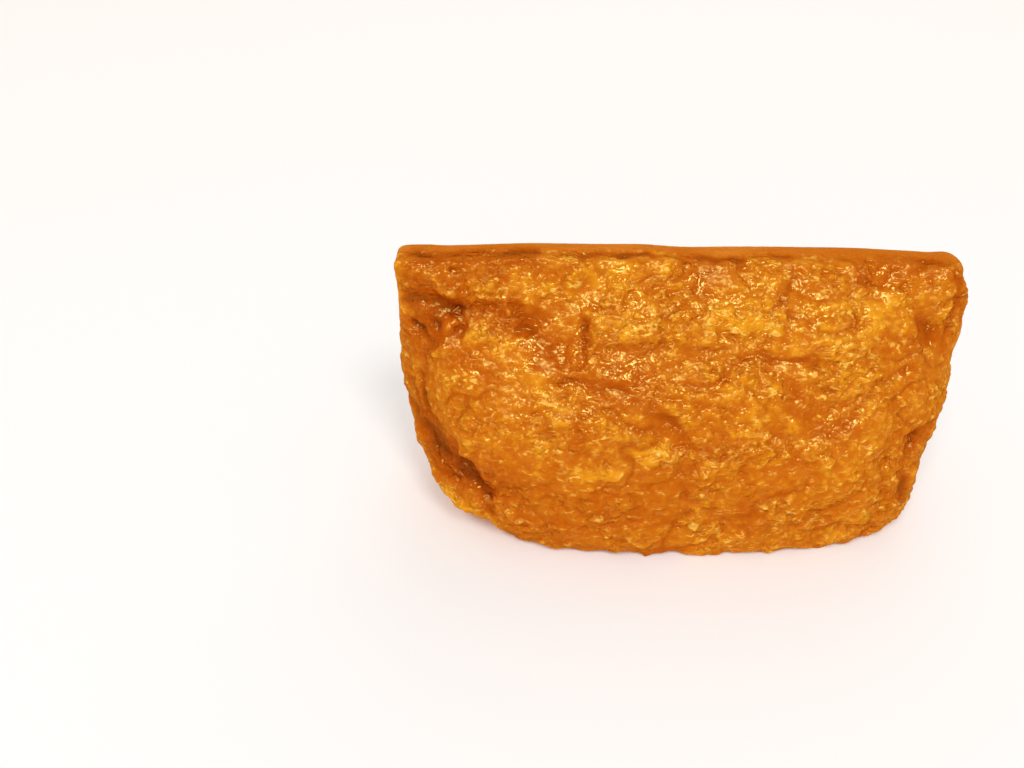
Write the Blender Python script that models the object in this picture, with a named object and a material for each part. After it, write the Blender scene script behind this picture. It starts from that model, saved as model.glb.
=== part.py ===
"""One piece of inari sushi: a pouch of simmered fried tofu, packed with rice and stood on its folded mouth.

The pouch is half of a fried tofu sheet, so its closed edge keeps the sheet's old side wall: a smooth band with
two square corners, which runs along the top and turns down both ends. Below it the skin swells out over the
rice. The solid is a block whose grid of points is moved, point by point, onto that shape.
+X runs along the band, -Y is the front, and the piece stands on Z = 0.
"""

import math

import bmesh
import bpy
from mathutils import Vector, noise

MM = 0.001

# Driving dimensions, in millimetres
HEIGHT = 40.3
LENGTH = 78.0
BELLY_DEPTH = 37.0
BAND_WIDTH = 5.2
BAND_HEIGHT = 1.5  # how far the band's side walls reach down the faces
BAND_LIP = 0.35  # how far the band stands out over the crease below it
BAND_CORNER = 0.9  # how much the band's corners are rounded off, seen from the front
BAND_CROWN = 0.4
BAND_WANDER = 0.4  # how far the band swings forwards and back along its length
BAND_SAG = 0.7  # how far the band's right half hangs below its left half
END_DROP = 0.7  # how far the band's right end turns down
END_CROWN = 1.5  # how far the middle of each end stands out past its two edges

# Cells along the band, through the thickness and up the faces
CELLS = (48, 9, 26)
# 0 spaces the cells evenly, and 1 crowds them towards both ends
CROWDING = (0.4, 0.0, 0.5)

# Each end's reach as a share of half the length, by height as a share of the whole
LEFT_REACH = [(0.0, 0.87), (0.06, 0.9), (0.18, 0.94), (0.34, 0.97), (0.52, 0.985), (0.66, 0.98), (0.8, 0.985),
              (1.0, 0.975)]
RIGHT_REACH = [(0.0, 0.97), (0.06, 1.0), (0.14, 1.0), (0.24, 0.99), (0.38, 1.04), (0.52, 1.075), (0.59, 1.055),
               (0.67, 1.065), (0.82, 1.035), (0.94, 0.99), (1.0, 0.97)]
# Each face's stand-out as a share of half the belly's depth, by height
FRONT_SWELL = [(0.0, 0.945), (0.04, 0.985), (0.12, 1.0), (0.28, 0.985), (0.42, 0.93), (0.56, 0.81), (0.7, 0.62),
               (0.82, 0.42), (0.9, 0.27), (0.955, 0.12)]
BACK_SWELL = [(0.0, 0.93), (0.04, 0.97), (0.12, 0.99), (0.28, 0.98), (0.42, 0.93), (0.56, 0.82), (0.7, 0.64),
              (0.82, 0.43), (0.9, 0.26), (0.955, 0.12)]
# Half the width of each end in millimetres, by height
LEFT_END = [(0.0, 4.2), (0.12, 5.2), (0.3, 5.6), (0.5, 4.2), (0.65, 3.0), (0.85, 2.6), (1.0, 2.6)]
RIGHT_END = [(0.0, 8.6), (0.12, 9.0), (0.3, 7.4), (0.5, 4.8), (0.65, 3.2), (0.85, 2.6), (1.0, 2.6)]
# How full a face is between its ends, by height: 2 is lens-shaped, and 5 is nearly a box
FULLNESS = [(0.0, 3.1), (0.2, 3.3), (0.5, 2.9), (0.8, 2.4), (1.0, 2.0)]

# Broad hollows and swellings of each face: x, z, half length, half height and how far out, in millimetres
FRONT_MOUNDS = [
    (-33.5, 37.0, 4.5, 2.2, -0.7),  # the unfilled left corner of the pouch
    (-33.0, 31.5, 4.0, 2.5, -0.9),
    (-23.0, 22.0, 7.0, 6.0, 0.9),
    (-20.0, 31.8, 6.0, 3.2, -1.2),
    (7.0, 34.0, 13.0, 3.0, 0.8),
    (-11.0, 14.0, 9.0, 6.0, 0.6),
    (24.0, 31.5, 7.0, 3.5, 0.8),
    (13.0, 22.0, 9.0, 4.0, -0.6),
    (35.2, 32.5, 2.2, 3.6, -1.3),  # the unfilled right corner
    (31.5, 17.0, 2.0, 4.2, -1.3),
    (34.5, 9.5, 2.6, 3.0, 0.9),
    (-28.5, 5.0, 6.0, 2.8, 0.7),  # the corner of the mouth, tucked forward
]
BACK_MOUNDS = [
    (33.0, 34.5, 4.0, 2.8, -1.0),
    (-34.0, 34.0, 3.0, 4.0, -1.1),
    (-12.0, 31.0, 9.0, 4.0, 0.9),
    (14.0, 27.0, 7.0, 5.0, -0.9),
    (22.0, 14.0, 7.0, 6.0, 0.8),
    (-20.0, 14.0, 8.0, 5.0, -0.6),
    (33.0, 12.0, 2.6, 4.0, -1.3),
]
# The deeper folds of each face: points (x, z) along the fold, half its width and its depth, in millimetres
FRONT_FOLDS = [
    ([(-38.0, 35.0), (-33.0, 34.4), (-28.0, 35.6)], 1.2, 1.5),  # under the unfilled left corner
    ([(-35.8, 31.5), (-33.5, 29.5), (-31.5, 31.8), (-30.0, 29.8)], 1.0, 1.0),
    ([(-33.5, 29.0), (-34.6, 24.0), (-34.0, 18.0), (-31.8, 13.8), (-21.0, 8.6)], 1.6, 1.5),  # at the left end
    ([(-13.6, 34.0), (-13.2, 31.0), (-15.0, 27.5)], 1.2, 1.2),
    ([(-11.0, 31.3), (-4.0, 31.4), (10.0, 30.6)], 1.0, 0.5),
    ([(-21.5, 25.6), (-11.0, 25.0), (-1.3, 20.2), (2.7, 18.0)], 1.3, 0.9),
    ([(31.0, 28.0), (26.0, 26.7), (21.3, 22.2)], 1.3, 0.8),
    ([(-0.7, 17.3), (1.5, 12.8), (10.5, 6.5)], 1.1, 0.6),
    ([(35.8, 37.0), (36.2, 31.0), (35.6, 26.0)], 1.2, 1.0),  # inside the rim of the right end
]
BACK_FOLDS = [
    ([(38.0, 34.0), (32.0, 33.0), (27.0, 34.5)], 1.2, 1.3),
    ([(-33.5, 31.0), (-34.5, 23.0), (-32.5, 14.0)], 1.3, 1.2),
    ([(-22.0, 27.0), (-10.0, 24.5), (0.0, 25.5)], 1.3, 0.9),
    ([(8.0, 20.0), (15.0, 17.0), (20.0, 11.0)], 1.2, 0.8),
    ([(34.0, 24.0), (35.0, 16.0), (30.0, 9.0), (24.0, 7.5)], 1.3, 1.3),
]

LUMP_SIZE = 9.0  # the unevenness of the rice under the skin
LUMP_RISE = 0.55

# The mouth is folded shut underneath, where one flap laps over the other
LAP_REACH = 0.8  # as a share of the foot's half length
LAP_DEPTH = 1.3
LAP_STEP = 0.8


def smooth_step(low, high, value):
    """0 up to low, 1 from high on, and a smooth rise between them."""
    share = min(1.0, max(0.0, (value - low) / (high - low)))
    return share * share * (3.0 - 2.0 * share)


def along(keys, share):
    """The value at share of a smooth curve through the keys, which are (share, value) in rising order."""
    last = len(keys) - 1
    start = max(i for i in range(last) if i == 0 or keys[i][0] <= share)
    end = start + 1
    (x0, y0), (x1, y1) = keys[start], keys[end]

    def slope(i):
        (xa, ya), (xb, yb) = keys[max(i - 1, 0)], keys[min(i + 1, last)]
        return (yb - ya) / (xb - xa)

    step = x1 - x0
    t = min(1.0, (share - x0) / step)
    bend_in = (1 + 2 * t) * (1 - t) ** 2 * y0 + t * (1 - t) ** 2 * step * slope(start)
    bend_out = t * t * (3 - 2 * t) * y1 + t * t * (t - 1) * step * slope(end)
    return bend_in + bend_out


def crowded(share, crowding):
    """A share from 0 to 1 moved towards the nearer end, which puts more cells there."""
    return (1 - crowding) * share + crowding * (0.5 - 0.5 * math.cos(math.pi * share))


def half_depth(p, q, r):
    """How far the face on q's side stands out from the middle plane, at share p of the end's reach."""
    lip = 1 - BAND_HEIGHT / HEIGHT
    crease = BAND_WIDTH / 2 - BAND_LIP
    band = crease + BAND_LIP * smooth_step(lip - 0.02, lip + 0.01, r)
    swell = max(band, along(FRONT_SWELL if q < 0 else BACK_SWELL, r) * BELLY_DEPTH / 2)
    end_half = max(band, along(LEFT_END if p < 0 else RIGHT_END, r))
    full = (1 - abs(p) ** along(FULLNESS, r)) ** 0.62
    return end_half + (swell - end_half) * full


def place(p, q, r):
    """The point of the plain pouch for a point of the block: p and q run from -1 to 1, and r from 0 to 1."""
    reach = along(LEFT_REACH if p < 0 else RIGHT_REACH, r) * LENGTH / 2
    low_end = 1 - smooth_step(0.5, 0.95, r)
    x = p * (reach - END_CROWN * q * q * low_end)
    z = r * HEIGHT
    near_top = smooth_step(0.8, 1.0, r)
    corner = max(0.0, abs(x) - (reach - BAND_CORNER)) * near_top
    z -= corner * corner / (2 * BAND_CORNER)
    z += smooth_step(0.97, 1.0, r) * BAND_CROWN * (1 - q * q)
    z -= near_top * (BAND_SAG * smooth_step(-0.15, 0.05, p) + END_DROP * smooth_step(0.6, 1.1, p))
    wander = BAND_WANDER * math.sin(2.6 * p + 0.4) * near_top
    return Vector((x, q * half_depth(p, q, r) + wander, z))


def lap(p, q):
    """How an underside point moves for the lap: the row behind the flap's edge closes up to it and sinks."""
    row = 2.0 / CELLS[1]
    flap = 1 - smooth_step(LAP_REACH - 0.15, LAP_REACH, abs(p))
    if abs(q - row / 2) < row / 4:
        return Vector((0.0, flap * (LAP_STEP - row * half_depth(p, q, 0.0)), flap * LAP_DEPTH))
    if abs(q - row * 3 / 2) < row / 4:
        return Vector((0.0, 0.0, flap * LAP_DEPTH / 3))
    return Vector((0.0, 0.0, 0.0))


def mound(x, z, form):
    """How far one broad form moves the skin at (x, z)."""
    centre_x, centre_z, half_length, half_height, out = form
    return out * math.exp(-((x - centre_x) / half_length) ** 2 - ((z - centre_z) / half_height) ** 2)


def fold(x, z, form):
    """How far one fold sinks the skin at (x, z), from the distance to the nearest stretch of it."""
    points, half_width, depth = form
    spot = Vector((x, z))
    nearest = math.inf
    for start, end in zip(points, points[1:]):
        start = Vector(start)
        run = Vector(end) - start
        share = min(1.0, max(0.0, (spot - start).dot(run) / run.length_squared))
        nearest = min(nearest, (start + run * share - spot).length)
    return -depth * math.exp(-(nearest / half_width) ** 2)


def relief(point, normal):
    """How far out the finished skin lies from the plain pouch, in millimetres."""
    mounds, folds = (FRONT_MOUNDS, FRONT_FOLDS) if point.y < 0 else (BACK_MOUNDS, BACK_FOLDS)
    off_band = 1 - smooth_step(0.9, 0.96, point.z / HEIGHT)
    facing = min(1.0, abs(normal.y) * 2.0) * off_band
    rise = LUMP_RISE * noise.noise(point / LUMP_SIZE) * off_band * smooth_step(0.5, 3.0, point.z)
    rise += facing * sum(mound(point.x, point.z, form) for form in mounds)
    rise += facing * sum(fold(point.x, point.z, form) for form in folds)
    return rise


def block():
    """A block from -1 to 1 on X and Y and from 0 to 1 on Z, cut into its cells."""
    shape = bmesh.new()
    bmesh.ops.create_cube(shape, size=2.0)
    for axis, cells in enumerate(CELLS):
        edges = [e for e in shape.edges if abs(e.verts[0].co[axis] - e.verts[1].co[axis]) > 1.0]
        bmesh.ops.subdivide_edges(shape, edges=edges, cuts=cells - 1, use_grid_fill=True)
    for vert in shape.verts:
        vert.co.z = (vert.co.z + 1) / 2
    return shape


def shape_pouch(shape):
    """Moves the block's points onto the pouch, in millimetres."""
    for vert in shape.verts:
        p = 2 * crowded((vert.co.x + 1) / 2, CROWDING[0]) - 1
        q = vert.co.y
        r = crowded(vert.co.z, CROWDING[2])
        vert.co = place(p, q, r)
        if r == 0.0:
            vert.co += lap(p, q)
    shape.normal_update()
    skin = [vert for vert in shape.verts if vert.normal.z > -0.8]
    moves = [vert.normal * relief(vert.co, vert.normal) for vert in skin]
    for vert, move in zip(skin, moves):
        vert.co += move
        vert.co.z = max(0.0, vert.co.z)


def centre(shape):
    """Brings the middle of the pouch's length and of its depth over the origin."""
    for axis in (0, 1):
        places = [vert.co[axis] for vert in shape.verts]
        middle = (min(places) + max(places)) / 2
        for vert in shape.verts:
            vert.co[axis] -= middle


def tofu_material():
    material = bpy.data.materials.new("simmered_tofu_skin")
    material.use_nodes = True
    surface = material.node_tree.nodes["Principled BSDF"]
    surface.inputs["Base Color"].default_value = (0.66, 0.2, 0.012, 1.0)
    surface.inputs["Roughness"].default_value = 0.38
    surface.inputs["Metallic"].default_value = 0.0
    return material


def make_pouch():
    shape = block()
    shape_pouch(shape)
    centre(shape)
    bmesh.ops.scale(shape, vec=Vector((MM, MM, MM)), verts=shape.verts)
    bmesh.ops.recalc_face_normals(shape, faces=shape.faces)
    mesh = bpy.data.meshes.new("inari_pouch")
    shape.to_mesh(mesh)
    shape.free()
    mesh.shade_smooth()
    mesh.materials.append(tofu_material())
    pouch = bpy.data.objects.new("inari_pouch", mesh)
    bpy.context.scene.collection.objects.link(pouch)


def main():
    for old in list(bpy.data.objects):
        bpy.data.objects.remove(old)
    make_pouch()


main()
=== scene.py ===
# One piece of inari sushi on a pale table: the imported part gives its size, and this script gives its skin.
import math
import bpy
import numpy as np
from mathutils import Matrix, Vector, noise


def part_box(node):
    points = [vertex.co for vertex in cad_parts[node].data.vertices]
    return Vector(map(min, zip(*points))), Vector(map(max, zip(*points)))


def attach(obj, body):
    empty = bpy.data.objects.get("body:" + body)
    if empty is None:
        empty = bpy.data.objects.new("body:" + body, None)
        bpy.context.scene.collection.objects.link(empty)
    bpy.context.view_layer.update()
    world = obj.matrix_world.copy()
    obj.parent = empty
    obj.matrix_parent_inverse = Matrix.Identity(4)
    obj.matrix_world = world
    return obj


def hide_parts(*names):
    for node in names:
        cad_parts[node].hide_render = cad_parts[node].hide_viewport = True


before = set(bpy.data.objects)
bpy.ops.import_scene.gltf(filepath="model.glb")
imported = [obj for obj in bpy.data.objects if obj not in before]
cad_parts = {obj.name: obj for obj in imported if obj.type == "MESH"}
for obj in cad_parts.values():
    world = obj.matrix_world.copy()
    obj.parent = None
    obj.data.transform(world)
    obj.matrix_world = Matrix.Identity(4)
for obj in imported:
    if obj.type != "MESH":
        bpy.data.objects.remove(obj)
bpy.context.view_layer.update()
mm = 0.001
noise.seed_set(4)
print("frame loaded:", sorted(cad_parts))


def pickOnly(obj):
    # nothing else may be selected when an operator runs
    if bpy.context.object and bpy.context.object.mode != "OBJECT":
        bpy.ops.object.mode_set(mode="OBJECT")
    bpy.ops.object.select_all(action="DESELECT")
    obj.select_set(True)
    bpy.context.view_layer.objects.active = obj


def applyModifier(obj, kind, **settings):
    pickOnly(obj)
    modifier = obj.modifiers.new(kind.title(), kind)
    for name, value in settings.items():
        setattr(modifier, name, value)
    bpy.ops.object.modifier_apply(modifier=modifier.name)


# the smooth form that the skin is wrapped round
formSettings = {
    "mergeDistance": 0.01 * mm,
    "joinAngle": math.radians(60),  # triangles that meet flatter than this become one face
    "rounding": 2,  # levels of subdivision
}


def copyForm():
    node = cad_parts["inari_pouch"]
    form = bpy.data.objects.new("pouchForm", node.data.copy())
    bpy.context.scene.collection.objects.link(form)
    pickOnly(form)
    bpy.ops.object.mode_set(mode="EDIT")
    bpy.ops.mesh.select_all(action="SELECT")
    bpy.ops.mesh.remove_doubles(threshold=formSettings["mergeDistance"])
    angle = formSettings["joinAngle"]
    bpy.ops.mesh.tris_convert_to_quads(face_threshold=angle, shape_threshold=angle)
    bpy.ops.object.mode_set(mode="OBJECT")
    levels = formSettings["rounding"]
    applyModifier(form, "SUBSURF", levels=levels, render_levels=levels)
    return form


# the blank: a block that takes the form's shape, in small even faces
blankSettings = {
    "cuts": 5,  # across each side of the block
    "levels": 4,  # of plain subdivision before the block is wrapped
    "cell": 0.375 * mm,  # size of the skin's faces
    "smoothing": 0.5,
    "smoothingRounds": 3,
}


def modelBlank(form):
    low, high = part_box("inari_pouch")
    bpy.ops.object.select_all(action="DESELECT")
    bpy.ops.mesh.primitive_cube_add(size=1, location=(low + high) / 2)
    blank = bpy.context.object
    blank.name = "tofuPouch"
    blank.scale = high - low
    bpy.ops.object.transform_apply(location=True, rotation=True, scale=True)
    bpy.ops.object.mode_set(mode="EDIT")
    bpy.ops.mesh.select_all(action="SELECT")
    bpy.ops.mesh.subdivide(number_cuts=blankSettings["cuts"])
    bpy.ops.object.mode_set(mode="OBJECT")
    levels = blankSettings["levels"]
    applyModifier(blank, "SUBSURF", levels=levels, render_levels=levels, subdivision_type="SIMPLE")
    applyModifier(blank, "SHRINKWRAP", target=form, wrap_method="NEAREST_SURFACEPOINT")
    applyModifier(blank, "REMESH", mode="VOXEL", voxel_size=blankSettings["cell"])
    rounds = blankSettings["smoothingRounds"]
    applyModifier(blank, "SMOOTH", factor=blankSettings["smoothing"], iterations=rounds)
    print("blank wrapped:", len(blank.data.polygons), "faces")
    return blank


# from here to the finish, lengths are in millimetres from the middle of the foot
def smoothStep(low, high, value):
    share = np.clip((value - low) / (high - low), 0.0, 1.0)
    return share * share * (3.0 - 2.0 * share)


def fadeOut(low, high, value):
    return 1.0 - smoothStep(low, high, value)


def hill(value, middle, reach):
    return np.exp(-(((value - middle) / reach) ** 2))


def readPoints(mesh):
    points = np.empty(len(mesh.vertices) * 3)
    mesh.vertices.foreach_get("co", points)
    normals = np.empty(len(mesh.vertices) * 3)
    mesh.vertices.foreach_get("normal", normals)
    return points.reshape(-1, 3) / mm, normals.reshape(-1, 3)


def writePoints(mesh, points):
    mesh.vertices.foreach_set("co", (points * mm).ravel())
    mesh.update()


def cloudAt(points, size, shift=0.0):
    # smooth noise from -1 to 1; the shift keeps one pattern from lying on top of another
    return np.array([noise.noise(Vector(p)) for p in (points / size + shift).tolist()])


def driftAt(points, size, shift=0.0):
    return np.array([noise.noise_vector(Vector(p)) for p in (points / size + shift).tolist()])


def billowsAt(points, size, shift=0.0):
    # puffy lumps with sharp creases between them
    return np.minimum(1.0, 2.6 * np.abs(cloudAt(points, size, shift)))


def domesAt(points, size, shift=0.0):
    # one round dome for each cell, with a crease between neighbours
    near = np.array([noise.voronoi(Vector(p))[0][:2] for p in (points / size + shift).tolist()])
    dome = np.clip(1.0 - near[:, 0] * near[:, 0] * 1.6, 0.0, 1.0)
    return dome * smoothStep(0.0, 0.3, near[:, 1] - near[:, 0])


def softened(mesh, values, rounds):
    edges = np.empty(len(mesh.edges) * 2, dtype=np.int32)
    mesh.edges.foreach_get("vertices", edges)
    one, two = edges.reshape(-1, 2).T
    count = np.bincount(one, minlength=len(values)) + np.bincount(two, minlength=len(values))
    for turn in range(rounds):
        total = np.bincount(one, values[two], len(values))
        total = total + np.bincount(two, values[one], len(values))
        values = 0.5 * values + 0.5 * total / count
    return values


foldSettings = {
    # points (along, up) on each fold, half its width, its depth and how far the skin above it hangs over
    "front": [
        ([(-38.0, 34.5), (-37.0, 35.0), (-35.5, 35.5), (-32.5, 34.5), (-29.5, 35.0)], 1.1, 0.55, 0.0),
        ([(-31.0, 34.0), (-31.0, 32.0), (-31.0, 30.5)], 0.5, 0.5, 0.0),
        ([(-37.5, 31.0), (-35.0, 29.0), (-34.0, 31.5), (-34.0, 32.5)], 0.6, 0.9, 0.1),
        ([(-24.5, 36.0), (-22.0, 33.5), (-23.5, 32.0)], 0.7, 0.4, 0.1),
        ([(-34.5, 29.0), (-36.0, 27.5), (-36.5, 24.0), (-36.5, 20.5), (-36.0, 16.5)], 0.8, 0.7, 0.0),
        ([(-40.0, 15.0), (-37.5, 14.5), (-34.5, 13.5), (-31.0, 12.0), (-27.5, 10.5)], 1.2, 1.0, 0.1),
        ([(-35.0, 17.5), (-33.5, 14.5), (-33.5, 12.5)], 0.6, 0.5, 0.1),
        ([(-32.5, 16.0), (-31.5, 13.5), (-29.5, 12.5)], 0.6, 0.5, 0.1),
        ([(-37.5, 12.5), (-35.5, 10.5), (-33.5, 10.5)], 0.6, 0.4, 0.1),
        ([(-38.5, 22.0), (-37.5, 19.0), (-38.0, 16.0)], 0.6, 0.4, 0.1),
        ([(-38.0, 13.5), (-35.0, 12.0), (-32.5, 10.5)], 0.7, 0.6, 0.2),
        ([(-32.0, 10.5), (-29.5, 9.5), (-26.5, 7.5)], 0.7, 0.5, 0.2),
        ([(-32.5, 17.0), (-30.5, 14.0), (-27.5, 12.0)], 0.6, 0.5, 0.1),
        ([(-14.5, 33.0), (-14.0, 31.5), (-15.0, 28.5)], 0.6, 0.5, 0.2),
        ([(-12.5, 31.0), (-5.5, 31.0), (1.0, 31.0), (9.0, 30.0), (16.0, 29.5)], 0.6, 0.15, 0.15),
        ([(-17.0, 27.0), (-13.5, 27.0), (-9.5, 26.5), (-6.0, 24.0), (-2.5, 22.0),
          (0.5, 19.5)], 0.8, 0.4, 0.2),
        ([(29.0, 27.0), (27.0, 26.5), (25.0, 26.0), (23.0, 24.0), (20.5, 21.5)], 0.7, 0.35, 0.2),
        ([(-2.0, 17.0), (0.0, 12.5), (2.5, 10.0), (5.5, 8.5), (9.0, 6.0)], 0.7, 0.3, 0.2),
        ([(34.5, 38.5), (36.0, 34.5), (36.0, 31.0), (35.0, 29.0)], 0.6, 0.2, 0.05),
        ([(35.0, 18.0), (32.0, 17.5), (31.0, 13.0), (33.0, 7.0)], 0.9, 0.6, 0.1),
        ([(31.0, 33.0), (33.0, 30.5)], 0.8, 0.4, 0.0),
    ],
    "back": [
        ([(38.5, 33.5), (36.5, 34.0), (30.5, 33.0), (25.5, 34.5)], 1.1, 0.9, 0.4),
        ([(-35.0, 31.0), (-36.0, 23.0), (-34.0, 14.0)], 1.0, 0.8, 0.3),
        ([(-23.5, 27.0), (-11.5, 24.5), (-1.5, 25.5)], 0.9, 0.6, 0.3),
        ([(6.5, 20.0), (13.5, 17.0), (18.5, 11.0)], 0.9, 0.5, 0.2),
        ([(32.5, 24.0), (33.5, 16.0), (28.5, 9.0), (22.5, 7.5)], 1.4, 1.1, 0.3),
        ([(5.0, 31.5), (14.0, 30.5), (22.0, 31.5)], 0.9, 0.5, 0.3),
    ],
    "wander": (2.6, 0.9),  # size and reach of the drift that keeps folds from running straight
    "patchSize": 5.0,  # how often a fold opens and closes along its length
    "patchEdge": (-0.25, 0.2),
    "closedShare": 0.5,  # how much of a fold is left where it closes
    "evenness": 0.6,  # share of a fold's depth that doesn't close again on top of that
    "facing": 5.0,  # how soon folds fade round the ends: 5 is where the skin is a fifth turned to the front
    "lipPlace": 1.6,  # where the overhanging skin is fullest, in half widths from the fold
    "lipWidth": 1.3,
    "lipEnd": 1.2,
    "shade": (0.4, 0.7),  # painted shade: how red any fold is painted, and how much redder for each millimetre of depth
    "ridge": (-1.5, 1.5),  # where the front's colours give way to the back's
    "ridgeDrop": 0.8,  # above which the front's colours run on to the back edge
}

swellSettings = {
    # points (along, up) on each swelling or hollow, half its width, its rise, and how yellow or brown it is
    # painted, partly the skin's own colour and partly painted light and shade
    "front": [
        ([(-14.0, 33.0), (-7.0, 33.0), (0.5, 34.0)], 1.7, 0.35, 0.1),
        ([(2.5, 34.0), (6.5, 34.0), (14.0, 33.5), (18.5, 32.0)], 1.7, 0.35, 0.5),
        ([(20.0, 30.0), (22.5, 31.5), (25.5, 34.0)], 1.3, 0.3, 0.25),
        ([(-28.5, 31.0), (-25.5, 30.0), (-22.5, 28.0), (-19.0, 25.0), (-17.0, 23.0)], 1.5, 0.35, 0.3),
        ([(-14.5, 23.5), (-11.0, 22.5), (-7.0, 20.0), (-3.0, 18.0)], 1.2, 0.3, 0.1),
        ([(-34.0, 27.5), (-31.0, 28.5), (-29.0, 26.0), (-28.5, 22.0), (-30.5, 17.5)], 1.3, 0.3, 0.0),
        ([(9.0, 25.0), (13.0, 22.5), (17.0, 26.0)], 2.2, 0.4, 0.0),
        ([(-35.0, 8.5), (-33.5, 7.5), (-31.0, 6.5)], 1.7, 0.8, 0.5),
        ([(-28.0, 8.5), (-24.5, 7.0)], 1.2, 0.4, 0.1),
        ([(17.0, 35.0), (21.5, 35.5), (28.0, 34.5), (29.5, 33.0), (29.0, 32.0)], 1.0, 0.3, 0.35),
        ([(24.5, 33.0), (28.0, 32.5)], 1.2, 0.3, 0.35),
        ([(24.0, 19.0), (22.0, 14.0)], 2.6, 0.3, 0.1),
        ([(-33.0, 32.0), (-32.5, 33.0), (-31.5, 32.5)], 0.7, 0.6, 0.6),
        ([(-34.0, 28.0), (-33.5, 29.5), (-32.5, 29.0)], 0.7, 0.6, 0.5),
        ([(-16.0, 16.5), (-13.5, 15.5), (-10.5, 15.5)], 1.4, 0.3, 0.8),
        ([(-29.5, 35.0), (-28.0, 36.5), (-25.5, 37.0), (-19.5, 37.0), (-17.0, 36.5)], 1.1, 0.35, 0.45),
        ([(-35.0, 39.0), (-32.5, 39.0)], 0.9, 0.5, 0.3),
        ([(-34.0, 38.0), (-33.0, 37.0), (-32.0, 36.0)], 0.7, 0.5, 0.6),
        ([(-29.5, 34.5), (-29.5, 32.5), (-30.0, 29.5)], 0.7, 0.4, 0.5),
        ([(-34.0, 1.0), (-30.0, 1.0), (-26.5, 0.5)], 1.9, -1.0, 0.0),
        ([(-40.0, 16.5), (-37.0, 14.5)], 2.2, -0.9, -0.5),
        ([(-38.5, 17.0), (-36.5, 15.5), (-33.0, 15.0), (-30.5, 13.5)], 1.5, -0.3, -1.0),
        ([(-29.5, 31.5), (-28.0, 32.5)], 1.2, 0.3, 0.3),
        ([(5.5, 26.0), (8.0, 25.0), (8.5, 21.5)], 1.3, 0.2, 0.4),
        ([(21.0, 28.0), (24.5, 26.5)], 1.3, 0.3, 0.3),
        ([(-37.0, 30.5), (-35.0, 31.5)], 1.2, -0.3, -0.5),
        ([(-35.5, 33.5), (-30.5, 34.0)], 1.2, -0.4, -0.6),
        ([(-27.0, 34.5), (-24.5, 33.5), (-22.0, 32.5)], 1.4, -0.6, -0.5),
        ([(-21.5, 32.5), (-19.0, 30.5), (-17.5, 29.0)], 1.4, -0.3, -0.6),
        ([(31.5, 32.5), (34.0, 30.5), (35.5, 29.5)], 1.4, -0.4, -0.5),
        ([(26.5, 38.5), (28.5, 38.5), (31.5, 39.0)], 0.8, -0.2, -0.6),
        # brown round the lower left fold: painted shade
        ([(-36.0, 15.5), (-32.5, 12.5), (-28.0, 11.5)], 2.8, -0.2, -1.6),
        ([(-30.5, 13.5), (-29.0, 11.5), (-27.5, 9.5)], 0.9, -0.4, -1.3),
        ([(33.5, 18.5), (32.0, 16.5)], 1.6, -0.3, -0.5),
    ],
    "back": [
        ([(-22.0, 33.0), (-8.0, 34.0), (4.0, 33.5)], 1.7, 0.6, 0.45),
        ([(20.0, 27.0), (28.0, 20.0)], 1.9, 0.5, 0.4),
        ([(-14.0, 18.0), (-4.0, 14.0)], 2.0, 0.4, 0.3),
        ([(24.0, 5.0), (31.0, 5.0)], 2.0, 0.4, 0.5),
        ([(-30.0, 20.0), (-27.0, 12.0)], 2.4, 0.4, 0.2),
    ],
}

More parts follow.
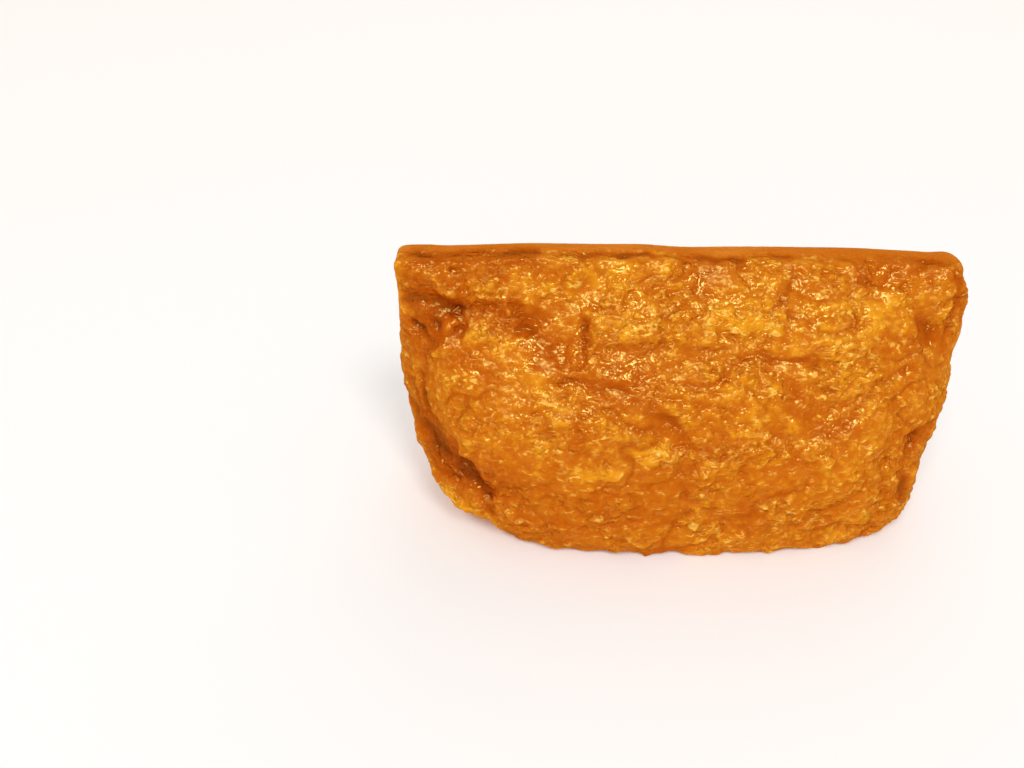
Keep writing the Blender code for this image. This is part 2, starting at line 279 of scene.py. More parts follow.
toneSettings = {
    # points (along, up) on each patch of colour, half its width, and how yellow or brown it is, partly the
    # skin's own colour and partly painted light and shade
    "front": [
        ([(-38.0, 38.0), (-34.5, 36.0), (-34.0, 32.5), (-30.5, 34.0)], 3.4, -0.8),
        ([(-36.0, 40.5), (-28.0, 40.5), (-22.0, 40.5)], 1.4, -0.8),
        ([(-26.5, 15.5), (-24.5, 14.5)], 1.5, -0.5),
        ([(-35.0, 7.0), (-32.0, 5.0), (-28.0, 4.5)], 2.0, 0.4),
        ([(22.5, 3.0), (26.0, 6.0)], 2.2, 0.35),
        ([(6.0, 33.5), (8.5, 33.5)], 1.3, 0.5),
        ([(12.5, 33.5), (15.5, 33.0)], 1.3, -0.45),
        ([(-39.5, 40.0), (-39.0, 33.0)], 1.4, 0.8),
        ([(-32.5, 34.5), (-32.5, 29.0)], 1.6, -0.6),
        ([(-26.5, 35.5), (-24.5, 35.5)], 1.6, -0.5),
        ([(-19.5, 33.5), (-19.0, 30.5), (-18.5, 28.5)], 1.4, -0.5),
        ([(-13.5, 38.0), (-11.5, 38.0)], 1.4, 0.6),
        ([(-7.5, 19.0), (-4.0, 19.0)], 1.6, 0.8),
        ([(-20.5, 18.5), (-18.0, 19.5)], 1.5, 0.4),
        ([(-15.5, 18.0), (-15.0, 22.0)], 1.3, -0.4),
        ([(6.0, 22.0), (9.0, 22.5)], 1.6, 0.3),
        ([(9.5, 7.0), (7.5, 11.5)], 2.0, -0.3),
        ([(15.0, 31.0), (17.5, 30.5), (21.0, 27.0)], 2.0, 0.1),
        ([(25.0, 40.0), (34.0, 40.0)], 1.2, -0.5),
        ([(33.0, 38.0), (37.0, 37.0), (37.5, 34.0)], 1.8, -0.4),
        ([(22.0, 38.5), (29.0, 37.0)], 1.4, -0.35),
        ([(-13.0, 35.5), (-11.5, 35.5)], 1.3, -0.5),
        ([(-11.5, 33.0), (-8.0, 33.0)], 1.2, 0.4),
        ([(-4.5, 31.5), (-2.5, 31.5)], 1.2, 0.3),
        ([(-6.0, 27.0), (-5.5, 24.0)], 1.5, -0.4),
        ([(0.5, 38.5), (0.5, 34.0)], 1.3, -0.35),
        ([(-21.5, 32.5), (-20.5, 29.0)], 1.3, -0.5),
        ([(-16.5, 20.0), (-16.5, 16.5)], 1.3, -0.5),
        ([(-39.0, 31.0), (-36.5, 28.0)], 1.8, -0.6),
        ([(-23.5, 20.5), (-22.0, 20.5)], 1.3, 0.4),
        # darker along the foot: painted shade
        ([(-26.0, 2.0), (-12.0, 1.5), (-4.0, 1.0)], 2.0, -0.35),
        ([(28.0, 8.0), (31.0, 9.0)], 2.0, -0.3),
        ([(-32.5, 11.5), (-35.0, 7.5)], 1.5, -0.5),
        ([(-30.0, 28.0), (-25.5, 27.5)], 1.3, -0.45),
        ([(-11.0, 28.0), (-8.0, 27.0), (-9.5, 25.0)], 1.4, -0.8),
        ([(-14.0, 28.0), (-12.5, 25.0), (-15.0, 23.5)], 1.1, -0.5),
        ([(-4.5, 21.5), (0.0, 19.5), (3.5, 18.5)], 1.4, -0.5),
        ([(13.5, 25.5), (15.0, 23.5), (18.5, 20.0), (21.5, 21.5)], 1.3, -0.5),
        ([(-0.5, 39.5), (1.5, 39.0), (4.5, 37.5)], 1.0, -0.6),
        ([(-20.0, 13.0), (-12.0, 11.0), (-3.0, 9.0)], 3.6, -0.3),
        ([(-24.0, 8.0), (-14.0, 4.0)], 2.4, -0.4),
    ],
    "back": [
        ([(-10.0, 9.0), (10.0, 8.0)], 4.0, -0.35),
        ([(34.0, 37.0), (38.0, 36.5)], 2.4, -0.4),
    ],
}

def foldGap(places, route):
    # distance to the route, and which side of it each place is on
    nearest = np.full(len(places), 1e9)
    side = np.zeros(len(places))
    for start, end in zip(route, route[1:]):
        start = np.array(start)
        run = np.array(end) - start
        share = np.clip(((places - start) @ run) / (run @ run), 0.0, 1.0)
        away = places - start - share[:, None] * run
        gap = np.linalg.norm(away, axis=1)
        closer = gap < nearest
        turned = (away[:, 1] * run[0] - away[:, 0] * run[1]) / np.linalg.norm(run)
        side = np.where(closer, turned, side)
        nearest = np.where(closer, gap, nearest)
    return nearest, side


def foldRelief(points, normals, drop):
    # how far folds and swells move the skin, how much painted shade the folds get, and how yellow or brown
    # the patches are, partly painted light and shade
    size, reach = foldSettings["wander"]
    places = points[:, [0, 2]] + driftAt(points, size, 7.1)[:, [0, 2]] * reach
    facing = np.clip(np.abs(normals[:, 1]) * foldSettings["facing"], 0.0, 1.0)
    closed, even = foldSettings["closedShare"], foldSettings["evenness"]
    patchy = smoothStep(*foldSettings["patchEdge"], cloudAt(points, foldSettings["patchSize"], 4.4))
    patchy = closed + (1.0 - closed) * patchy
    rise = np.zeros(len(points))
    shade = np.zeros(len(points))
    tintAndShade = np.zeros(len(points))
    shadeLeast, shadeGrowth = foldSettings["shade"]
    front = np.maximum(fadeOut(*foldSettings["ridge"], points[:, 1]), drop < foldSettings["ridgeDrop"])
    for name, here, seen in (("front", points[:, 1] < 0, front), ("back", points[:, 1] >= 0, 1.0 - front)):
        for route, halfWidth, depth, overhang in foldSettings[name]:
            gap, side = foldGap(places, route)
            gap, side = gap / halfWidth, side / halfWidth
            groove = hill(gap, 0.0, 1.0) * (even + (1.0 - even) * patchy)
            lip = hill(side, foldSettings["lipPlace"], foldSettings["lipWidth"])
            lip = lip * hill(gap, np.abs(side), foldSettings["lipEnd"])
            rise += here * facing * patchy * (overhang * lip - depth * groove)
            shadeRedness = min(1.0, shadeLeast + shadeGrowth * depth)
            shade = np.maximum(shade, here * facing * patchy * hill(gap, 0.0, 1.0) * shadeRedness)
        for route, halfWidth, height, yellow in swellSettings[name]:
            swell = hill(foldGap(places, route)[0], 0.0, halfWidth)
            rise += height * swell * here * facing
            tintAndShade += yellow * swell * seen
        for route, halfWidth, yellow in toneSettings[name]:
            tintAndShade += yellow * hill(foldGap(places, route)[0], 0.0, halfWidth) * seen
    return rise, shade, tintAndShade


def topAlong(points):
    # height of the band above each place along the pouch
    marks = np.arange(-42.0, 43.0, 1.5)
    tops = [points[np.abs(points[:, 0] - mark) < 1.0, 2].max(initial=0.0) for mark in marks]
    return np.interp(points[:, 0], marks, tops)


bandSettings = {
    "front": 0.4,  # how far in front of the middle the band's front edge runs
    "wander": [(1.1, 6.0, 14.0), (0.5, 1.8, 15.0)],  # reach, size and shift of that edge's wander
    "frontEdge": (-0.4, 0.4),
    "backEdge": (3.0, 4.0),
    "lowEdge": (0.4, 1.2),  # below the top
    "endTurn": (0.55, 0.85),  # down the ends the band lies where the skin faces along the piece
    "endUp": (25.0, 33.0),
    "endEdge": (1.4, 2.6),
    "endShare": 0.8,
}


def bandShare(points, normals, drop):
    # the band's share of each place, and how far in front of the band the place lies
    ahead = -points[:, 1] - bandSettings["front"]
    for reach, size, shift in bandSettings["wander"]:
        ahead -= reach * cloudAt(points, size, shift)
    onTop = fadeOut(*bandSettings["frontEdge"], ahead) * fadeOut(*bandSettings["backEdge"], points[:, 1])
    onTop *= fadeOut(*bandSettings["lowEdge"], drop)
    onEnd = smoothStep(*bandSettings["endTurn"], np.abs(normals[:, 0]))
    onEnd *= smoothStep(*bandSettings["endUp"], points[:, 2])
    onEnd *= bandSettings["endShare"] * fadeOut(*bandSettings["endEdge"], np.abs(points[:, 1]))
    return np.maximum(onTop, onEnd), ahead


skinSettings = {
    # the band's right corner stands up and out over these stretches along the piece and up it
    "cornerAlong": (36.0, 39.5),
    "cornerUp": (34.0, 38.0),
    "cornerLift": 1.2,
    "outwardAlong": (32.5, 35.5),
    "outwardUp": (37.5, 40.0),
    "outwardReach": 1.0,
    "crowns": [(-22.0, 9.0, 0.4), (5.0, 14.0, 0.25)],  # where the band bows upward, how far along, how high
    "crownUp": (34.0, 39.0),
    "pinch": (7.5, 2.8, 1.2),  # how high the left end is pinched, how far up and down, and how far in
    "pinchAlong": (28.0, 37.0),
    "tucks": [(-28.5, 3.0, 2.3), (-20.5, 3.5, 0.35)],  # where the foot turns under, how far along and back
    "tuckUp": (0.5, 7.0),
    "tuckAhead": (2.0, 10.0),
    "easing": 26,  # rounds of smoothing that turn the band's edges over
    "easedDrop": (2.0, 4.5),  # how far below the top that ends
    "easedAlong": (32.5, 35.5),  # and how far along, as the corners stay square
    # size and height of each kind of unevenness, from the largest to the smallest
    "crumple": (9.0, 0.3),
    "lump": (4.6, 0.3),
    "wrinkle": (2.5, 0.36, 0.4),  # and the share of it that calm patches keep
    "pucker": (1.35, 0.28, 0.5),
    "blister": (1.5, 0.2, 0.5),
    "shoulder": (4.4, 0.55),  # lumps that push up against the band
    "shoulderAhead": (1.0, 1.8),
    "shoulderDrop": (3.0, 6.0),
    "shoulderShare": (0.7, 1.6),  # how much of them is even, and how much comes and goes
    "level": 0.6,  # height on each lump that lies level with the form
    "stretch": (0.72, 0.85, 1.0),  # the lumps are longest along the piece
    "warp": (2.2, 0.75),  # size and reach of the drift that bends them
    "heavy": (5.0, 28.0),  # between these heights the lumps grow by half on the way down
    "bandShare": 0.1,  # how much of the relief the smooth band keeps
    "endShare": 0.65,  # and how much the ends keep
    "endTurn": (0.5, 0.85),  # the ends lie where the skin faces along the piece
    "endAlong": (36.5, 39.0),  # or this far out
    "lively": [(1.0, 6.0, 11.0), (0.5, 2.5, 12.0)],  # strength, size and shift of the rough patches
    "livelyEdge": (-0.2, 0.2),
    "crumpled": (-35.0, 5.0, 0.4),  # the end that is rough all over, how far that reaches, how strongly
    "creaseShade": 0.55,  # painted shade: how red the creases between the lumps are painted
    "creaseEdge": (0.0, 0.3),
    "creasePatches": (7.0, -0.1, 0.35),  # size and edge of the patches where creases get red painted shade
    "brink": (0.8, 0.9, 0.2, 0.8),  # the crease beside the band: place, half width, depth and how red its painted shade is
    "brinkDrop": (1.2, 2.4),
    "brinkPatches": (5.0, -0.1, 0.3),
    "backDrop": (2.0, 5.5),  # behind the band's back edge nothing stands up, down to here
    "bandProud": 0.3,  # how far the band stands above the skin beside it
    "hollowRounds": 24,  # rounds of smoothing that the relief is set against, to find its hollows
    "seam": (-1.0, 0.7, 0.5, 0.9),  # the lapped seam underneath: place, half width, depth and how red its painted shade is
    "seamAlong": (24.0, 28.0),
    "seamUp": (2.0, 3.0),
    "underneath": 0.4,  # height of the wrinkles underneath
    "undersideTurn": (-0.97, -0.75),  # the underside lies where the skin faces down
    "downTurn": (0.1, 0.6),  # and fine relief fades on the way there
    "fineShares": (0.9, 0.5, 0.7),  # how much fine relief the band, the ends and the lowest skin lose
}


def shapeEnds(points):
    along, back, up = points.T
    corner = smoothStep(*skinSettings["cornerAlong"], along) * smoothStep(*skinSettings["cornerUp"], up)
    up += skinSettings["cornerLift"] * corner
    outward = smoothStep(*skinSettings["outwardAlong"], along) * smoothStep(*skinSettings["outwardUp"], up)
    along += skinSettings["outwardReach"] * outward
    middle, reach, shift = skinSettings["pinch"]
    along += shift * smoothStep(*skinSettings["pinchAlong"], -along) * hill(up, middle, reach)
    foot = fadeOut(*skinSettings["tuckUp"], up) * smoothStep(*skinSettings["tuckAhead"], -back)
    for middle, reach, shift in skinSettings["tucks"]:
        back += shift * foot * hill(along, middle, reach)
    for middle, reach, lift in skinSettings["crowns"]:
        up += lift * hill(along, middle, reach) * smoothStep(*skinSettings["crownUp"], up)


def easeBand(mesh, points):
    drop = topAlong(points) - points[:, 2]
    eased = np.stack([softened(mesh, axis, skinSettings["easing"]) for axis in points.T], axis=1)
    turned = fadeOut(*skinSettings["easedDrop"], drop)
    turned = turned * fadeOut(*skinSettings["easedAlong"], np.abs(points[:, 0]))
    writePoints(mesh, points + (eased - points) * turned[:, None])


def livelyShare(points):
    # the skin is rough in patches, and all over at its crumpled end
    lively = np.zeros(len(points))
    for strength, size, shift in skinSettings["lively"]:
        lively += strength * cloudAt(points, size, shift)
    middle, reach, strength = skinSettings["crumpled"]
    return smoothStep(*skinSettings["livelyEdge"], lively + strength * hill(points[:, 0], middle, reach))


def addAttribute(mesh, name, values):
    layer = mesh.attributes.new(name, "FLOAT", "POINT")
    layer.data.foreach_set("value", values.astype(np.float32))


def carveSkin(pouch):
    mesh = pouch.data
    points, normals = readPoints(mesh)
    shapeEnds(points)
    easeBand(mesh, points)
    points, normals = readPoints(mesh)
    drop = topAlong(points) - points[:, 2]
    band, ahead = bandShare(points, normals, drop)
    ends = smoothStep(*skinSettings["endTurn"], np.abs(normals[:, 0]))
    ends = np.maximum(ends, smoothStep(*skinSettings["endAlong"], np.abs(points[:, 0])))
    loose = 1.0 - (1.0 - skinSettings["bandShare"]) * band
    loose *= 1.0 - (1.0 - skinSettings["endShare"]) * ends
    lively = livelyShare(points)
    size, reach = skinSettings["warp"]
    warped = points + driftAt(points, size, 3.3) * reach
    stretched = warped * np.array(skinSettings["stretch"])
    level = skinSettings["level"]

    # the relief, from the largest forms to the smallest
    size, height = skinSettings["crumple"]
    rise = height * cloudAt(points, size) * (1.0 - band) * (1.0 - ends)
    size, height = skinSettings["lump"]
    lumps = billowsAt(stretched, size, 1.7)
    rise += height * (lumps - level) * loose * (1.0 + 0.5 * fadeOut(*skinSettings["heavy"], points[:, 2]))
    size, height, calm = skinSettings["wrinkle"]
    wrinkles = billowsAt(stretched, size, 5.2)
    rise += height * (wrinkles - level) * loose * (calm + (1.0 - calm) * lively)
    size, height, calm = skinSettings["pucker"]
    rise += height * (billowsAt(stretched, size, 9.9) - level) * loose * (calm + (1.0 - calm) * lively)
    size, height, calm = skinSettings["blister"]
    rise += height * domesAt(warped, size, 2.2) * loose * (calm + (1.0 - calm) * lively)
    size, height = skinSettings["shoulder"]
    even, patchy = skinSettings["shoulderShare"]
    beside = smoothStep(*skinSettings["shoulderAhead"], ahead) * (1.0 - band) * (1.0 - ends)
    beside *= fadeOut(*skinSettings["shoulderDrop"], drop)
    rise += height * (even + patchy * cloudAt(points, size, 6.6)) * beside
    foldRise, foldShade, tintAndShade = foldRelief(points, normals, drop)
    rise += foldRise
    place, width, depth, brinkShade = skinSettings["brink"]
    size, low, high = skinSettings["brinkPatches"]
    brink = hill(ahead, place, width) * fadeOut(*skinSettings["brinkDrop"], drop) * (1.0 - band)
    brink *= smoothStep(low, high, cloudAt(points, size, 16.0))
    rise -= depth * brink
    rise -= np.maximum(rise, 0.0) * (points[:, 1] > 0) * fadeOut(*skinSettings["backDrop"], drop)
    hollow = softened(mesh, rise, skinSettings["hollowRounds"]) - rise

    # the underside stays flat enough to stand on, with wrinkles and the lapped seam pressed into it
    raised = smoothStep(*skinSettings["undersideTurn"], normals[:, 2])
    tops = points[:, 2] + drop
    points += normals * (rise * raised)[:, None]
    wrinkled = 1.0 - lumps * (0.4 + 0.6 * wrinkles)
    points[:, 2] += skinSettings["underneath"] * (1.0 - raised) * wrinkled
    place, width, depth, seamShade = skinSettings["seam"]
    seam = hill(warped[:, 1], place, width) * fadeOut(*skinSettings["seamUp"], points[:, 2])
    seam *= fadeOut(*skinSettings["seamAlong"], np.abs(points[:, 0]))
    points[:, 2] += depth * seam
    points[:, 2] = np.clip(points[:, 2], 0.0, tops - skinSettings["bandProud"] * (1.0 - band))
    writePoints(mesh, points)

    # what the finish reads
    size, low, high = skinSettings["creasePatches"]
    creases = fadeOut(*skinSettings["creaseEdge"], lumps) * loose
    creases *= smoothStep(low, high, cloudAt(points, size, 8.8))
    # painted shade in the folds, the creases between lumps, the crease beside the band and the seam
    shades = (foldShade, brinkShade * brink, skinSettings["creaseShade"] * creases, seamShade * seam)
    addAttribute(mesh, "fold", np.max(shades, axis=0))
    addAttribute(mesh, "band", band)
    addAttribute(mesh, "hollow", hollow)
    addAttribute(mesh, "tintAndShade", tintAndShade)
    onBand, onEnds, lowest = skinSettings["fineShares"]
    fine = lively * (1.0 - onBand * band) * (1.0 - onEnds * ends)
    fine *= 1.0 - lowest * smoothStep(*skinSettings["downTurn"], -normals[:, 2])
    addAttribute(mesh, "rough", fine)
    print("skin carved:", round(float(rise.min()), 2), "to", round(float(rise.max()), 2), "mm")


tofuFinish = {
    # colours, from the painted shade at the bottom of a fold to the palest flecks, which are partly painted
    # glints
    "shadedBrown": (0.2, 0.012, 0.001),
    "deepShade": (0.2, 0.035, 0.003),
    "fold": (0.4, 0.06, 0.001),
    "pit": (0.49, 0.1, 0.003),
    "skin": (0.57, 0.162, 0.006),
    "puff": (0.74, 0.31, 0.012),
    "fleckGlint": (0.9, 0.54, 0.1),
    "band": (0.55, 0.125, 0.005),
    "bandPale": (0.66, 0.2, 0.02),
    # tones between which one colour gives way to the next; 0 is plain skin
    "pitToSkin": (-0.7, 0.1),
    "skinToPuff": (-0.1, 0.8),
    "foldToPit": (-1.4, -0.6),
    "brownToFold": (-2.7, -1.2),
    "bandToPale": (0.3, 0.66),
    # shares of the fold shade between which folds are painted red, and then deep red, as painted shade
    "foldStart": (0.0, 0.75),
    "foldDeep": (0.5, 1.05),
    "hollowShade": -1.2,  # painted shade and highlight: how much browner each millimetre of hollow is, and yellower each millimetre of rise
    "largeBlotch": 0.9,
    "smallBlotch": 0.9,
    # the bump's own pimples and beads are painted yellower on their tops: painted highlight
    "pimpleTone": 1.2,
    "beadTone": 0.35,
    # patterns, in repeats to the metre
    "driftScale": 700,
    "largeScale": 150,
    "smallScale": 420,
    "pimpleScale": 850,
    "rowScale": 330,
    "fleckScale": 1500,
    "bandScale": 240,
    "glossScale": 300,
    "streakScale": 1000,
    "beadScales": (900, 1500),
    "beadWidths": (0.55, 0.5),
    "rowGaps": (0.42, 0.56),
    "driftReach": 1.1 * mm,
    "pimpleLean": -0.5 * mm,
    "reliefHeight": 0.2 * mm,
    "roughness": (0.15, 0.3),
    "mirrorTint": (1.0, 0.92, 0.25),
    "glossIndex": 1.75,
    "syrupWeight": 0.02,
    "syrupRoughness": 0.08,
    "syrupIndex": 1.4,
    "softWeight": 0.8,
    "softRadius": (1.0, 0.35, 0.08),
    "softScale": 0.3 * mm,
}


def makeTofuFinish():
    material = bpy.data.materials.new("simmeredTofu")
    material.use_nodes = True
    nodes = material.node_tree.nodes
    links = material.node_tree.links
    surface = nodes["Principled BSDF"]

    def add(kind, **settings):
        node = nodes.new(kind)
        for name, value in settings.items():
            setattr(node, name, value)
        return node

    def feed(socket, value):
        if isinstance(value, bpy.types.NodeSocket):
            links.new(value, socket)
        else:
            socket.default_value = (*value, 1.0) if isinstance(value, tuple) else value

    def calculate(operation, *values):
        node = add("ShaderNodeMath", operation=operation)
        for socket, value in zip(node.inputs, values):
            feed(socket, value)
        return node.outputs[0]

    def centred(value, strength):
        return calculate("MULTIPLY", calculate("SUBTRACT", value, 0.5), strength)

    def mixColour(share, one, two):
        mix = add("ShaderNodeMix", data_type="RGBA")
        feed(mix.inputs[0], share)
        feed(mix.inputs[6], one)
        feed(mix.inputs[7], two)
        return mix.outputs[2]

    def attribute(name):
        return add("ShaderNodeAttribute", attribute_name=name).outputs["Fac"]

    def ramp(value, low, high, least=0.0, most=1.0):
        node = add("ShaderNodeMapRange", interpolation_type="SMOOTHSTEP")
        for socket, number in zip(node.inputs[:5], (value, low, high, least, most)):
            feed(socket, number)
        return node.outputs["Result"]

    def vectorMath(operation, one, two):
        node = add("ShaderNodeVectorMath", operation=operation)
        links.new(one, node.inputs[0])
        links.new(two, node.inputs[1])
        return node.outputs[0]

    def cloud(scale, detail, rough=0.5, distortion=0.0, stretch=None, vector=None):
        node = add("ShaderNodeTexNoise")
        vector = vector or place
        if stretch:
            mapping = add("ShaderNodeMapping")
            mapping.inputs["Scale"].default_value = stretch
            links.new(vector, mapping.inputs["Vector"])
            vector = mapping.outputs["Vector"]
        feed(node.inputs["Vector"], vector)
        feed(node.inputs["Scale"], scale)
        feed(node.inputs["Detail"], detail)
        feed(node.inputs["Roughness"], rough)
        feed(node.inputs["Distortion"], distortion)
        return node.outputs["Fac"]

    def pimplesAt(vector=None):
        return cloud(tofuFinish["pimpleScale"], 1, 0.45, 0.4, stretch=(0.75, 1.0, 1.0), vector=vector)

    def beads(scale, width):
        # round blisters standing apart on level skin, steepest on their upper sides
        node = add("ShaderNodeTexVoronoi", feature="F1")
        feed(node.inputs["Vector"], swirl)
        feed(node.inputs["Scale"], scale)
        away = calculate("DIVIDE", node.outputs["Distance"], width)
        dome = calculate("MAXIMUM", calculate("SUBTRACT", 1.0, calculate("MULTIPLY", away, away)), 0.0)
        split = add("ShaderNodeSeparateXYZ")
        links.new(vectorMath("SUBTRACT", swirl, node.outputs["Position"]), split.inputs[0])
        upper = calculate("MULTIPLY", split.outputs["Z"], 0.8 * scale / width)
        return calculate("MULTIPLY", dome, calculate("ADD", 1.0, upper))

    place = add("ShaderNodeTexCoord").outputs["Object"]
    drift = add("ShaderNodeTexNoise")
    links.new(place, drift.inputs["Vector"])
    drift.inputs["Scale"].default_value = tofuFinish["driftScale"]
    drift.inputs["Detail"].default_value = 1
    stray = add("ShaderNodeVectorMath", operation="SCALE")
    links.new(drift.outputs["Color"], stray.inputs[0])
    stray.inputs["Scale"].default_value = tofuFinish["driftReach"]
    swirl = vectorMath("ADD", place, stray.outputs[0])

    # tone: yellower where the skin rises and browner where it sinks, as painted highlight and shade, with
    # blotches of the skin's own colour and the painted patches
    pimples = pimplesAt()
    rows = cloud(tofuFinish["rowScale"], 2, 0.5, 0.6, stretch=(0.4, 1.0, 1.1))
    large, small = [beads(*pair) for pair in zip(tofuFinish["beadScales"], tofuFinish["beadWidths"])]
    tone = calculate("MULTIPLY", attribute("hollow"), tofuFinish["hollowShade"])
    tone = calculate("ADD", tone, attribute("tintAndShade"))
    blotches = cloud(tofuFinish["largeScale"], 2, 0.5, 0.4)
    tone = calculate("ADD", tone, centred(blotches, tofuFinish["largeBlotch"]))
    blotches = cloud(tofuFinish["smallScale"], 2, 0.6, 0.6)
    tone = calculate("ADD", tone, centred(blotches, tofuFinish["smallBlotch"]))
    # painted highlight: the pimples and beads are yellower where the bump lifts them
    tone = calculate("ADD", tone, centred(pimples, tofuFinish["pimpleTone"]))
    tone = calculate("ADD", tone, centred(large, tofuFinish["beadTone"]))

    colour = mixColour(ramp(tone, *tofuFinish["pitToSkin"]), tofuFinish["pit"], tofuFinish["skin"])
    colour = mixColour(ramp(tone, *tofuFinish["skinToPuff"]), colour, tofuFinish["puff"])
    colour = mixColour(ramp(tone, *tofuFinish["foldToPit"], 0.8, 0.0), colour, tofuFinish["fold"])
    # pale flecks along the rows where the bumps are rough: partly the skin's pale film, partly painted
    # glints
    fleckGlints = cloud(tofuFinish["fleckScale"], 1, 0.5, 0.8, stretch=(0.6, 1.0, 1.0))
    fleckGlints = ramp(fleckGlints, 0.57, 0.67, 0.0, 0.85)
    fleckGlints = calculate("MULTIPLY", fleckGlints, ramp(tone, -0.5, 0.4, 0.15, 1.0))
    fleckGlints = calculate("MULTIPLY", fleckGlints, ramp(rows, *tofuFinish["rowGaps"], 0.35, 1.1))
    colour = mixColour(fleckGlints, colour, tofuFinish["fleckGlint"])
    bandTone = cloud(tofuFinish["bandScale"], 2, 0.6, 0.4, stretch=(0.35, 1.0, 1.0))
    bandTone = calculate("MULTIPLY_ADD", attribute("tintAndShade"), 0.3, bandTone)
    bandTone = ramp(bandTone, *tofuFinish["bandToPale"])
    bandColour = mixColour(bandTone, tofuFinish["band"], tofuFinish["bandPale"])
    colour = mixColour(attribute("band"), colour, bandColour)
    # the folds and creases painted red, then deep red: painted shade
    colour = mixColour(ramp(attribute("fold"), *tofuFinish["foldStart"]), colour, tofuFinish["fold"])
    colour = mixColour(ramp(attribute("fold"), *tofuFinish["foldDeep"]), colour, tofuFinish["deepShade"])
    # the darkest patches painted brown: painted shade, with some dark seasoning
    colour = mixColour(ramp(tone, *tofuFinish["brownToFold"], 0.8, 0.0), colour, tofuFinish["shadedBrown"])
    links.new(colour, surface.inputs["Base Color"])
    gloss = cloud(tofuFinish["glossScale"], 2)
    feed(surface.inputs["Roughness"], ramp(gloss, 0.35, 0.7, *tofuFinish["roughness"]))

    # fine relief: pimples and grains in patches, and streaks along the band
    patches = calculate("MULTIPLY", attribute("rough"), ramp(rows, *tofuFinish["rowGaps"], 0.4, 1.0))
    patches = calculate("ADD", patches, calculate("MULTIPLY_ADD", attribute("band"), -0.35, 0.5))
    relief = calculate("ADD", calculate("MULTIPLY", large, 0.65), calculate("MULTIPLY", small, 0.35))
    lean = add("ShaderNodeCombineXYZ")
    feed(lean.inputs["Z"], centred(pimples, tofuFinish["pimpleLean"]))
    steep = pimplesAt(vectorMath("ADD", place, lean.outputs[0]))
    relief = calculate("ADD", relief, centred(steep, 1.8))
    relief = calculate("MULTIPLY", relief, patches)
    streaks = cloud(tofuFinish["streakScale"], 2, 0.6, 0.5, stretch=(0.4, 1.0, 1.0))
    relief = calculate("ADD", relief, calculate("MULTIPLY", centred(streaks, 0.9), attribute("band")))
    bump = add("ShaderNodeBump")
    feed(bump.inputs["Height"], relief)
    bump.inputs["Distance"].default_value = tofuFinish["reliefHeight"]
    links.new(bump.outputs["Normal"], surface.inputs["Normal"])
    links.new(bump.outputs["Normal"], surface.inputs["Coat Normal"])

    # a wet skin that light enters a little, under a thin coat of syrup
    surface.inputs["IOR"].default_value = tofuFinish["glossIndex"]
    surface.inputs["Specular Tint"].default_value = (*tofuFinish["mirrorTint"], 1.0)
    surface.inputs["Coat Weight"].default_value = tofuFinish["syrupWeight"]
    surface.inputs["Coat Roughness"].default_value = tofuFinish["syrupRoughness"]
    surface.inputs["Coat IOR"].default_value = tofuFinish["syrupIndex"]
    surface.inputs["Subsurface Weight"].default_value = tofuFinish["softWeight"]
    surface.inputs["Subsurface Radius"].default_value = tofuFinish["softRadius"]
    surface.inputs["Subsurface Scale"].default_value = tofuFinish["softScale"]
    return material


def makePouch():
    form = copyForm()
    pouch = modelBlank(form)
    bpy.data.objects.remove(form)
    carveSkin(pouch)
    pickOnly(pouch)
    bpy.ops.object.shade_smooth()
    pouch.data.materials.append(makeTofuFinish())
    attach(pouch, "root")
    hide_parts("inari_pouch")
    print("pouch made:", len(pouch.data.vertices), "points")


tableSettings = {
    "size": 3.0,
    "colour": (0.93, 0.93, 0.92),
    "roughness": 0.6,
}


def makeTable():
    bpy.ops.object.select_all(action="DESELECT")
    bpy.ops.mesh.primitive_plane_add(size=tableSettings["size"], location=(0, 0, 0))
    table = bpy.context.object
    table.name = "paleTable"
    material = bpy.data.materials.new("paleTable")
    material.use_nodes = True
    surface = material.node_tree.nodes["Principled BSDF"]
    surface.inputs["Base Color"].default_value = (*tableSettings["colour"], 1.0)
    surface.inputs["Roughness"].default_value = tableSettings["roughness"]
    table.data.materials.append(material)
    table.visible_glossy = False  # the wet skin would mirror it, and a small dish would not show there
    print("table made")


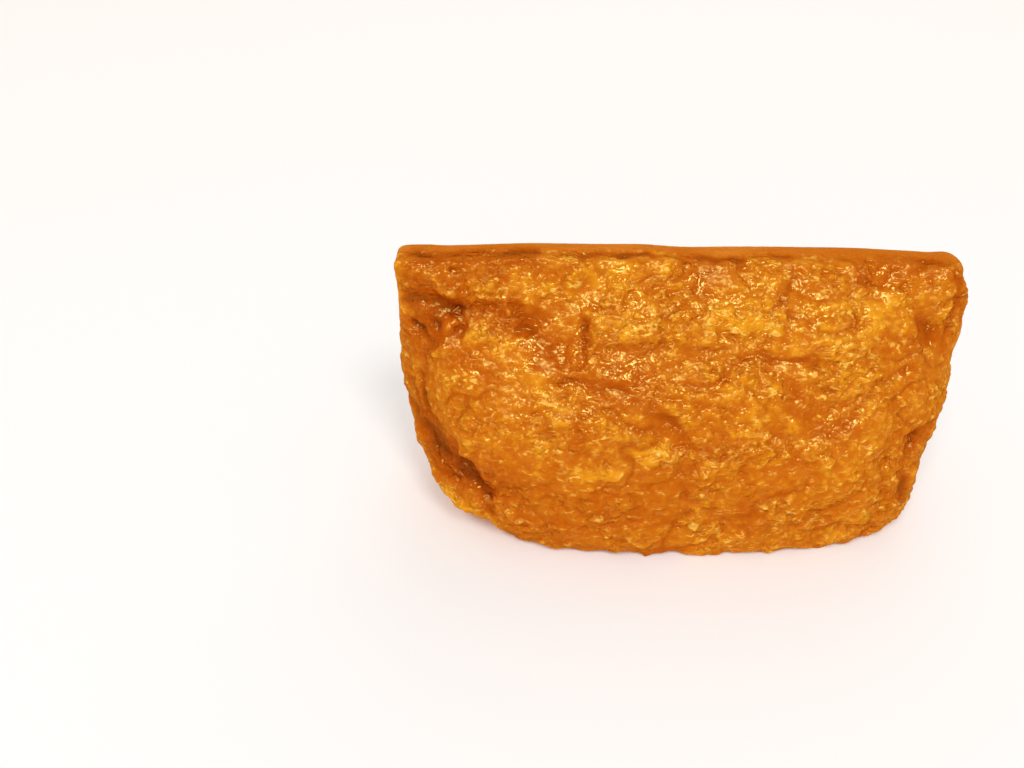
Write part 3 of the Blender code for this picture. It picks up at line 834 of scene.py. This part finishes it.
lightSettings = {
    # height above level and turn from straight in front, in degrees; how wide the lamp looks; its strength;
    # and whether the wet skin mirrors it
    "lamps": {
        "left": (54.0, -30.0, 16.0, 1.07, True),
        "right": (50.0, 22.0, 16.0, 0.89, True),
        "front": (20.0, -12.0, 60.0, 0.5, False),
        "back": (40.0, 165.0, 50.0, 0.35, False),
    },
    # the room as it lights the table, as the wet skin mirrors it, and as it shows behind the table
    "room": (0.48, 0.48, 0.48),
    "mirrored": (0.82, 0.34, 0.045),
    "background": (0.86, 0.86, 0.85),
}


def makeLights():
    for name, (height, turn, width, strength, mirrored) in lightSettings["lamps"].items():
        lamp = bpy.data.lights.new(name, "SUN")
        lamp.angle = math.radians(width)
        lamp.energy = strength
        holder = bpy.data.objects.new(name, lamp)
        holder.rotation_euler = (math.radians(90.0 - height), 0.0, math.radians(turn))
        holder.visible_glossy = mirrored
        bpy.context.scene.collection.objects.link(holder)
    world = bpy.data.worlds.new("paleRoom")
    world.use_nodes = True
    nodes = world.node_tree.nodes
    links = world.node_tree.links
    ray = nodes.new("ShaderNodeLightPath")

    def tinted(share, other, colour):
        mix = nodes.new("ShaderNodeMix")
        mix.data_type = "RGBA"
        links.new(ray.outputs[share], mix.inputs[0])
        if isinstance(other, tuple):
            mix.inputs[6].default_value = (*other, 1.0)
        else:
            links.new(other, mix.inputs[6])
        mix.inputs[7].default_value = (*colour, 1.0)
        return mix.outputs[2]

    room = tinted("Is Glossy Ray", lightSettings["room"], lightSettings["mirrored"])
    room = tinted("Is Camera Ray", room, lightSettings["background"])
    links.new(room, nodes["Background"].inputs["Color"])
    bpy.context.scene.world = world
    bpy.context.scene.view_settings.view_transform = "Standard"
    print("lights made")


cameraSettings = {
    "place": (-24.0, -101.5, 92.7),  # from the middle of the foot, in millimetres
    "tilt": 36.25,  # degrees below level
    "lens": 29.53,
    "sensor": 36.0,
    "nearest": 5.0 * mm,
}


def makeCamera():
    camera = bpy.data.cameras.new("camera")
    camera.sensor_width = cameraSettings["sensor"]
    camera.lens = cameraSettings["lens"]
    camera.clip_start = cameraSettings["nearest"]
    holder = bpy.data.objects.new("camera", camera)
    holder.location = [value * mm for value in cameraSettings["place"]]
    holder.rotation_euler = (math.radians(90.0 - cameraSettings["tilt"]), 0.0, 0.0)
    bpy.context.scene.collection.objects.link(holder)
    bpy.context.scene.camera = holder


makePouch()
makeTable()
makeLights()
makeCamera()
print("scene made")
